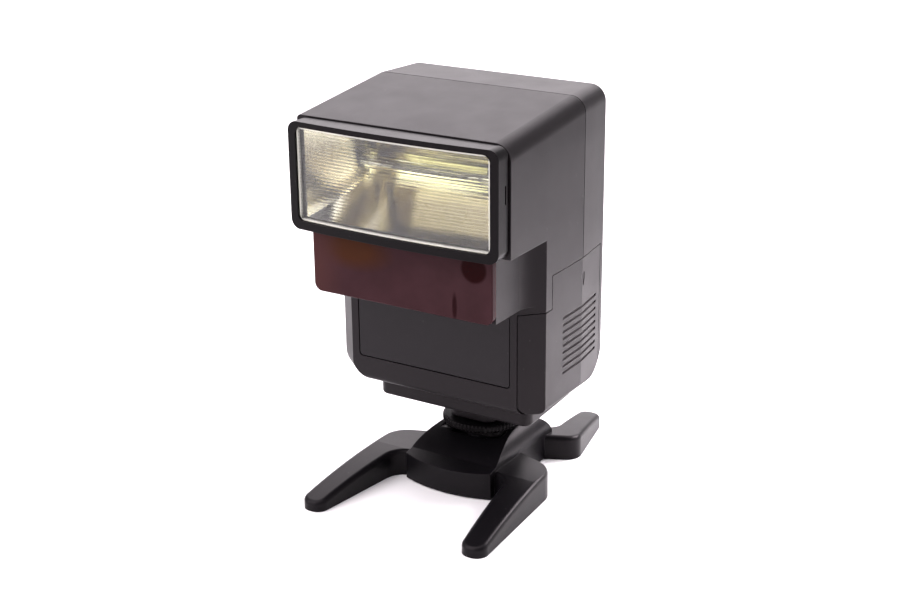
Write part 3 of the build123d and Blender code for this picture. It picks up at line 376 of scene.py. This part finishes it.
slot_of = {entry["node"]: entry["material_slot"] for entry in frame["record"]["subparts"]}
bodies = frame["record"]["behaviour"]["bodies"]
body_of = {node: body for body, members in bodies.items() for node in members}


def paint(obj, slot):
    """Gives the object the one material of that slot."""
    obj.data.materials.clear()
    obj.data.materials.append(materials[slot])


for node_name, node in nodes.items():
    paint(node, slot_of[node_name])


# ---------------------------------------------------------------- mesh helpers
def piece(name, mesh, like, stands_for=(), smooth=True):
    """Adds a mesh on the body of the CAD node "like", in its finish; it may stand for CAD nodes."""
    obj = bpy.data.objects.new(name, mesh)
    bpy.context.scene.collection.objects.link(obj)
    for polygon in mesh.polygons:
        polygon.use_smooth = smooth
    paint(obj, slot_of[like])
    if stands_for:
        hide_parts(*stands_for)
    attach(obj, body_of[like])
    return obj


WELD_DISTANCE = 0.001 * MM


def mesh_from(name, points, faces):
    """A mesh from points in millimetres and faces."""
    mesh = bpy.data.meshes.new(name)
    mesh.from_pydata([tuple(c * MM for c in p) for p in points], [], faces)
    cleaner = bmesh.new()
    cleaner.from_mesh(mesh)
    bmesh.ops.remove_doubles(cleaner, verts=cleaner.verts, dist=WELD_DISTANCE)
    bmesh.ops.recalc_face_normals(cleaner, faces=cleaner.faces)
    cleaner.to_mesh(mesh)
    cleaner.free()
    return mesh


def crisp(obj, degrees):
    """Smooth shading with edges sharper than the angle left crisp."""
    cleaner = bmesh.new()
    cleaner.from_mesh(obj.data)
    for edge in cleaner.edges:
        edge.smooth = len(edge.link_faces) == 2 and edge.calc_face_angle() < math.radians(degrees)
    cleaner.to_mesh(obj.data)
    cleaner.free()


def span(node_name):
    """A CAD node's box in millimetres: lowest and highest corner."""
    low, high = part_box(node_name)
    return low / MM, high / MM


def middle(node_name):
    """The middle of a CAD node's box, in millimetres."""
    low, high = span(node_name)
    return (low + high) / 2


def ring_quad(count, step, following, k, after):
    """The quad between points k and after of two neighbouring rings of count points each."""
    return (step * count + k, following * count + k, following * count + after, step * count + after)


def lathe(profile, origin, axis, steps=48):
    """Points and faces of a closed (distance along, radius) profile turned about an axis."""
    axis = Vector(axis).normalized()
    side = axis.orthogonal().normalized()
    other = axis.cross(side)
    points, faces = [], []
    for step in range(steps):
        angle = 2 * math.pi * step / steps
        outwards = side * math.cos(angle) + other * math.sin(angle)
        for along, radius in profile:
            points.append(Vector(origin) + axis * along + outwards * radius)
    count = len(profile)
    for step in range(steps):
        following = (step + 1) % steps
        for k in range(count):
            after = (k + 1) % count
            # two points on the axis span no face
            if profile[k][1] == 0 and profile[after][1] == 0:
                continue
            faces.append(ring_quad(count, step, following, k, after))
    return points, faces


def joined(*parts):
    """Several (points, faces) in one."""
    points, faces = [], []
    for part_points, part_faces in parts:
        base = len(points)
        points += part_points
        faces += [tuple(base + index for index in face) for face in part_faces]
    return points, faces


def wire_tube(path, radius, sides=10):
    """A round wire along a path of points, with closed ends."""
    points, faces = [], []
    previous = None
    for k, place in enumerate(path):
        ahead = (path[min(k + 1, len(path) - 1)] - path[max(k - 1, 0)]).normalized()
        if previous is None:
            previous = ahead.orthogonal().normalized()
        side = (previous - ahead * previous.dot(ahead)).normalized()
        previous = side
        other = ahead.cross(side)
        for n in range(sides):
            angle = 2 * math.pi * n / sides
            points.append(place + (side * math.cos(angle) + other * math.sin(angle)) * radius)
    for k in range(len(path) - 1):
        for n in range(sides):
            m = (n + 1) % sides
            faces.append((k * sides + n, k * sides + m, (k + 1) * sides + m, (k + 1) * sides + n))
    faces.append(tuple(range(sides)))
    faces.append(tuple((len(path) - 1) * sides + n for n in range(sides)))
    return points, faces


COIL_END_TURNS = 0.75
COIL_POINTS_PER_TURN = 20


def coil(origin, axis, radius, wire, length, turns):
    """A helical spring with closed end turns, inside the given outer radius."""
    axis = Vector(axis).normalized()
    side = axis.orthogonal().normalized()
    other = axis.cross(side)
    total = int((turns + 2 * COIL_END_TURNS) * COIL_POINTS_PER_TURN)
    lift = length - 2 * wire
    path = []
    for k in range(total + 1):
        turn = k / COIL_POINTS_PER_TURN
        share = min(max((turn - COIL_END_TURNS) / turns, 0.0), 1.0)
        angle = 2 * math.pi * turn
        outwards = side * math.cos(angle) + other * math.sin(angle)
        path.append(Vector(origin) + axis * (wire + lift * share) + outwards * (radius - wire))
    return wire_tube(path, wire, sides=8)


# ---------------------------------------------------------------- ribbed lens
LENS_BOW = 1.6
LENS_WALL = 1.55
LENS_GAP_X = 0.4
LENS_GAP_Z = 0.8
LENS_RIBS = 28
LENS_COLUMNS = 48
RIB_PROFILE = (0.0, 0.008, 0.018, 0.028)


def ribbed_lens():
    """Bowed clear front, smooth outside, with level ribs moulded inside."""
    low, high = span("fresnel_lens")
    centre_x = (low.x + high.x) / 2
    half = (high.x - low.x) / 2 - LENS_GAP_X
    bottom, top = low.z + LENS_GAP_Z, high.z - LENS_GAP_Z
    edge_y = low.y + LENS_BOW
    columns = LENS_COLUMNS
    rows = len(RIB_PROFILE) * LENS_RIBS

    def bowed(x, behind):
        return edge_y - LENS_BOW * (1 - (x / half) ** 2) + behind

    points, faces = [], []
    for row in range(rows + 1):
        z = bottom + (top - bottom) * row / rows
        for column in range(columns + 1):
            x = -half + 2 * half * column / columns
            depth = LENS_WALL + RIB_PROFILE[row % len(RIB_PROFILE)]
            points.append((centre_x + x, bowed(x, 0.0), z))
            points.append((centre_x + x, bowed(x, depth), z))
    wide = 2 * (columns + 1)

    def at(row, column, back):
        return row * wide + 2 * column + back

    for row in range(rows):
        for column in range(columns):
            for back in (0, 1):
                faces.append((
                    at(row, column, back), at(row, column + 1, back),
                    at(row + 1, column + 1, back), at(row + 1, column, back),
                ))
    for column in range(columns):
        for row in (0, rows):
            faces.append((
                at(row, column, 0), at(row, column + 1, 0),
                at(row, column + 1, 1), at(row, column, 1),
            ))
    for row in range(rows):
        for column in (0, columns):
            faces.append((
                at(row, column, 0), at(row + 1, column, 0),
                at(row + 1, column, 1), at(row, column, 1),
            ))
    mesh = mesh_from("ribbed_lens", points, faces)
    crisp(piece("ribbed_lens", mesh, "fresnel_lens", ["fresnel_lens"]), degrees=20)


ribbed_lens()


# ---------------------------------------------------------------- reflector and flash tube
REFLECTOR_GAP = 0.6
REFLECTOR_SHEET = 0.6 * REFLECTOR_GAP
REFLECTOR_END_SLOPE = 9.4
REFLECTOR_STEPS = 48
REFLECTOR_COLUMNS = 36


def reflector_sheet():
    """Parabolic trough of thin sheet with flat slanting ends, closed along its lip."""
    low, high = span("reflector")
    mid_z = (low.z + high.z) / 2
    half_z = (high.z - low.z) / 2 - REFLECTOR_GAP
    mouth_half = (high.x - low.x) / 2 - REFLECTOR_GAP
    depth = high.y - low.y - REFLECTOR_GAP
    steps, columns = REFLECTOR_STEPS, REFLECTOR_COLUMNS
    points, faces = [], []
    for skin in (0.0, REFLECTOR_SHEET):
        for step in range(steps + 1):
            t = -1 + 2 * step / steps
            z = mid_z + (half_z + skin) * t
            y = low.y + (depth + skin) * (1 - t * t)
            half = mouth_half + skin - REFLECTOR_END_SLOPE * (y - low.y) / depth
            for column in range(columns + 1):
                points.append((half * (-1 + 2 * column / columns), y, z))
    layer = (steps + 1) * (columns + 1)

    def at(side, step, column):
        return side * layer + step * (columns + 1) + column

    for side in (0, 1):
        for step in range(steps):
            for column in range(columns):
                faces.append((
                    at(side, step, column), at(side, step, column + 1),
                    at(side, step + 1, column + 1), at(side, step + 1, column),
                ))
        # the flat ends join the lower half of the curve to the upper half at the same depth
        for column in (0, columns):
            for step in range(steps // 2):
                mirrored = steps - step
                faces.append((
                    at(side, step, column), at(side, step + 1, column),
                    at(side, mirrored - 1, column), at(side, mirrored, column),
                ))
    for column in range(columns):
        for step in (0, steps):
            faces.append((
                at(0, step, column), at(0, step, column + 1),
                at(1, step, column + 1), at(1, step, column),
            ))
    for column in (0, columns):
        faces.append((at(0, 0, column), at(0, steps, column), at(1, steps, column), at(1, 0, column)))
    mesh = mesh_from("reflector_trough", points, faces)
    crisp(piece("reflector_trough", mesh, "reflector", ["reflector"]), degrees=25)


reflector_sheet()


TUBE_WALL = 0.45


def tube_with_electrodes():
    """Glass tube with drawn-down ends, and the two metal electrodes inside it."""
    low, high = span("flash_tube")
    mid = middle("flash_tube")
    length = high.x - low.x
    outer = (high.z - low.z) / 2
    inner = outer - TUBE_WALL
    # (distance along, radius), as lathe takes them
    glass = [
        (0.0, 0.5), (0.3, outer - 0.5), (1.0, outer), (length - 1.0, outer), (length - 0.3, outer - 0.5),
        (length, 0.5), (length - 0.6, 0.5), (length - 1.4, inner), (1.4, inner), (0.6, 0.5),
    ]
    start = (low.x, mid.y, mid.z)
    mesh = mesh_from("flash_tube_glass", *lathe(glass, start, (1, 0, 0)))
    crisp(piece("flash_tube_glass", mesh, "flash_tube", ["flash_tube"]), degrees=40)
    electrodes = []
    for side in (-1, 1):
        cup = [
            (0.0, 0.0), (0.0, 0.45), (9.5, 0.45), (9.6, 1.0), (9.9, 1.15), (13.6, 1.15), (13.9, 1.0),
            (14.0, 0.5), (17.5, 0.5), (17.7, 0.0),
        ]
        electrodes.append(lathe(cup, (mid.x + side * length / 2, mid.y, mid.z), (-side, 0, 0), steps=24))
    mesh = mesh_from("tube_electrodes", *joined(*electrodes))
    crisp(piece("tube_electrodes", mesh, "tray_contacts"), degrees=40)


tube_with_electrodes()


# ---------------------------------------------------------------- turned and wound pieces
WHEEL_BORE_RADIUS = 6.06
WHEEL_CHAMFER = 0.7
WHEEL_RIM = 0.55
WHEEL_TEETH = 64
NOTCH_PROFILE = (0.0, 0.28, 0.42, 0.28)


def knurled_wheel():
    """Lock wheel with straight knurling and chamfered rims."""
    low, high = span("lock_wheel")
    centre = middle("lock_wheel")
    outer = (high.x - low.x) / 2
    steps = WHEEL_TEETH * len(NOTCH_PROFILE)
    # radius, height, and how far the knurling cuts in there
    profile = [
        (WHEEL_BORE_RADIUS, low.z, 0.0),
        (outer - WHEEL_CHAMFER, low.z, 0.0),
        (outer, low.z + WHEEL_RIM, 1.0),
        (outer, high.z - WHEEL_RIM, 1.0),
        (outer - WHEEL_CHAMFER, high.z, 0.0),
        (WHEEL_BORE_RADIUS, high.z, 0.0),
    ]
    points, faces = [], []
    for step in range(steps):
        angle = 2 * math.pi * step / steps
        for radius, z, share in profile:
            r = radius - NOTCH_PROFILE[step % len(NOTCH_PROFILE)] * share
            points.append((centre.x + r * math.cos(angle), centre.y + r * math.sin(angle), z))
    count = len(profile)
    for step in range(steps):
        following = (step + 1) % steps
        for k in range(count):
            after = (k + 1) % count
            faces.append(ring_quad(count, step, following, k, after))
    mesh = mesh_from("knurled_wheel", points, faces)
    piece("knurled_wheel", mesh, "lock_wheel", ["lock_wheel"], smooth=False)


knurled_wheel()


PIN_WIRE_MM = 0.11
BUTTON_WIRE_MM = 0.15


def contact_springs():
    """The coil spring behind each contact pin, and the one behind the test button."""
    low, high = span("pin_springs")
    coils = []
    for pin in ("centre_pin", "left_pin", "right_pin", "signal_pin"):
        pin_low, pin_high = span(pin)
        centre = middle(pin)
        outer = (pin_high.x - pin_low.x) / 2
        start = (centre.x, centre.y, low.z)
        coils.append(coil(start, (0, 0, 1), outer, PIN_WIRE_MM, high.z - low.z, turns=6))
    piece("pin_coils", mesh_from("pin_coils", *joined(*coils)), "pin_springs", ["pin_springs"])
    low, high = span("button_spring")
    centre = middle("button_spring")
    outer = (high.x - low.x) / 2
    start = (centre.x, low.y, centre.z)
    wound = coil(start, (0, 1, 0), outer, BUTTON_WIRE_MM, high.y - low.y, turns=2)
    piece("button_coil", mesh_from("button_coil", *wound), "button_spring", ["button_spring"])


contact_springs()


CELL_RADIUS = 7.25
CELL_BUTTON = 1.2


def battery_cells():
    """Four cells, two by two: printed jackets with rolled rims, steel ends and raised buttons."""
    low, high = span("aa_cells")
    radius = CELL_RADIUS
    full = high.x - low.x
    body = full - CELL_BUTTON
    jackets, ends = [], []
    # (distance along, radius), as lathe takes them
    jacket = [
        (0.15, 6.2), (0.0, 6.6), (0.15, radius), (0.8, radius), (1.0, radius - 0.12), (1.3, radius),
        (body - 1.3, radius), (body - 1.0, radius - 0.12), (body - 0.8, radius), (body - 0.15, radius),
        (body, 6.6), (body - 0.15, 6.2),
    ]
    end = [
        (0.1, 0.0), (0.1, 3.6), (0.25, 3.8), (0.25, 6.25), (body - 0.25, 6.25), (body - 0.25, 3.4),
        (body, 3.2), (body, 2.75), (full - 0.2, 2.65), (full, 2.4), (full, 0.0),
    ]
    for y in (low.y + radius, high.y - radius):
        for z in (low.z + radius, high.z - radius):
            jackets.append(lathe(jacket, (low.x, y, z), (1, 0, 0)))
            ends.append(lathe(end, (low.x, y, z), (1, 0, 0)))
    mesh = mesh_from("cell_jackets", *joined(*jackets))
    crisp(piece("cell_jackets", mesh, "aa_cells", ["aa_cells"]), degrees=40)
    mesh = mesh_from("cell_ends", *joined(*ends))
    crisp(piece("cell_ends", mesh, "tray_contacts"), degrees=40)


battery_cells()


# ---------------------------------------------------------------- floor, light and camera
CAMERA_AZIMUTH = 32.1
CAMERA_ELEVATION = 20.11
CAMERA_ROLL = -0.64
CAMERA_TARGET_MM = (6.69, -25.5, 67.54)
CAMERA_DISTANCE = 0.4875
SENSOR_WIDTH = 36.0
FOCAL_LENGTH = 65.93


FLOOR_STEPS = 24


def studio_floor():
    """A pale floor that curves up far behind the object, turned to face the camera."""
    half_width, height, radius = 4.0, 3.0, 1.2
    front, back = -3.0, 3.0
    profile = [(front, 0.0), (back - radius, 0.0)]
    for step in range(1, FLOOR_STEPS + 1):
        angle = math.pi / 2 * step / FLOOR_STEPS
        profile.append((back - radius + radius * math.sin(angle), radius - radius * math.cos(angle)))
    profile.append((back, height))
    points = [(x, y, z) for y, z in profile for x in (-half_width, half_width)]
    faces = [(2 * k, 2 * k + 1, 2 * k + 3, 2 * k + 2) for k in range(len(profile) - 1)]
    mesh = bpy.data.meshes.new("studio_floor")
    mesh.from_pydata(points, [], faces)
    for polygon in mesh.polygons:
        polygon.use_smooth = True
    floor = bpy.data.objects.new("studio_floor", mesh)
    bpy.context.scene.collection.objects.link(floor)
    shader = Shader("floor_paper")
    tones = [(0.3, (0.86, 0.86, 0.87)), (0.7, (0.90, 0.90, 0.90))]
    tone = shader.ramp(shader.noise(180, detail=2), tones)
    roughness = shader.spread(shader.noise(60), 0.75, 0.85)
    mesh.materials.append(shader.feed(Base_Color=tone, Roughness=roughness))
    floor.rotation_euler.z = math.radians(CAMERA_AZIMUTH)


studio_floor()


DARK_AZIMUTH = 58.0
DARK_RISE = 0.15
WORLD_UP_AT = (-0.1, 0.7)
WORLD_UP = (0.80, 1.3)
WORLD_FRONT_AT = (0.55, 0.95)
WORLD_FRONT = (1.0, 0.2)
WORLD_TINT = (1.0, 0.945, 0.985, 1.0)
LIGHT_TINT = (1.0, 0.93, 0.965)


def studio_world():
    """A white tent: bright above, dimmer low down, and darker at the front right."""
    world = bpy.data.worlds.new("studio_world")
    bpy.context.scene.world = world
    world.use_nodes = True
    tree = world.node_tree
    background = tree.nodes["Background"]
    direction = tree.nodes.new("ShaderNodeTexCoord").outputs["Generated"]

    def along(vector, at, values):
        """A value that eases from one to the other as the sky direction turns towards the vector."""
        dot = tree.nodes.new("ShaderNodeVectorMath")
        dot.operation = "DOT_PRODUCT"
        tree.links.new(direction, dot.inputs[0])
        dot.inputs[1].default_value = vector
        spread = tree.nodes.new("ShaderNodeMapRange")
        spread.interpolation_type = "SMOOTHSTEP"
        for socket, value in zip(("From Min", "From Max", "To Min", "To Max"), (*at, *values)):
            spread.inputs[socket].default_value = value
        tree.links.new(dot.outputs["Value"], spread.inputs["Value"])
        return spread.outputs["Result"]

    azimuth = math.radians(DARK_AZIMUTH)
    dark_side = (math.sin(azimuth), -math.cos(azimuth), DARK_RISE)
    upward = along((0.0, 0.0, 1.0), WORLD_UP_AT, WORLD_UP)
    ahead = along(dark_side, WORLD_FRONT_AT, WORLD_FRONT)
    product = tree.nodes.new("ShaderNodeMath")
    product.operation = "MULTIPLY"
    tree.links.new(upward, product.inputs[0])
    tree.links.new(ahead, product.inputs[1])
    tree.links.new(product.outputs["Value"], background.inputs["Strength"])
    background.inputs["Color"].default_value = WORLD_TINT


studio_world()


def softbox(name, azimuth, elevation, distance, size, power, aim=(0, 0, 0.07)):
    """A square area light facing a point: degrees round from the front and up, metres, watts."""
    data = bpy.data.lights.new(name, "AREA")
    data.shape = "SQUARE"
    data.size = size
    data.energy = power
    data.color = LIGHT_TINT
    light = bpy.data.objects.new(name, data)
    bpy.context.scene.collection.objects.link(light)
    a, e = math.radians(azimuth), math.radians(elevation)
    away = Vector((math.sin(a) * math.cos(e), -math.cos(a) * math.cos(e), math.sin(e)))
    light.location = Vector(aim) + away * distance
    light.rotation_euler = away.to_track_quat("Z", "Y").to_euler()


softbox("overhead_box", azimuth=0, elevation=84, distance=1.6, size=1.6, power=18.0)
softbox("back_box", azimuth=208, elevation=34, distance=1.5, size=1.5, power=20.0)
softbox("key_box", azimuth=-33, elevation=34, distance=1.2, size=1.1, power=11.0)
# a small lamp hung behind the right side, shining down past its lower rear corner
past_corner = (0.095, 0.105, 0.0)
softbox("low_box", azimuth=140, elevation=85, distance=0.105, size=0.10, power=0.66, aim=past_corner)


def reference_camera():
    """A long lens, slightly above the object and round towards +X, with a slight roll."""
    azimuth = math.radians(CAMERA_AZIMUTH)
    elevation = math.radians(CAMERA_ELEVATION)
    roll = math.radians(CAMERA_ROLL)
    target = Vector(CAMERA_TARGET_MM) * MM
    away = Vector((
        math.sin(azimuth) * math.cos(elevation),
        -math.cos(azimuth) * math.cos(elevation),
        math.sin(elevation),
    ))
    right = Vector((math.cos(azimuth), math.sin(azimuth), 0.0))
    up = away.cross(right)
    rolled_right = right * math.cos(roll) + up * math.sin(roll)
    rolled_up = up * math.cos(roll) - right * math.sin(roll)
    data = bpy.data.cameras.new("reference_camera")
    data.sensor_width = SENSOR_WIDTH
    data.lens = FOCAL_LENGTH
    camera = bpy.data.objects.new("reference_camera", data)
    bpy.context.scene.collection.objects.link(camera)
    turn = Matrix((rolled_right, rolled_up, away)).transposed().to_4x4()
    camera.matrix_world = Matrix.Translation(target + away * CAMERA_DISTANCE) @ turn
    data.clip_start = 0.01
    bpy.context.scene.camera = camera


reference_camera()
bpy.context.scene.view_settings.view_transform = "Standard"
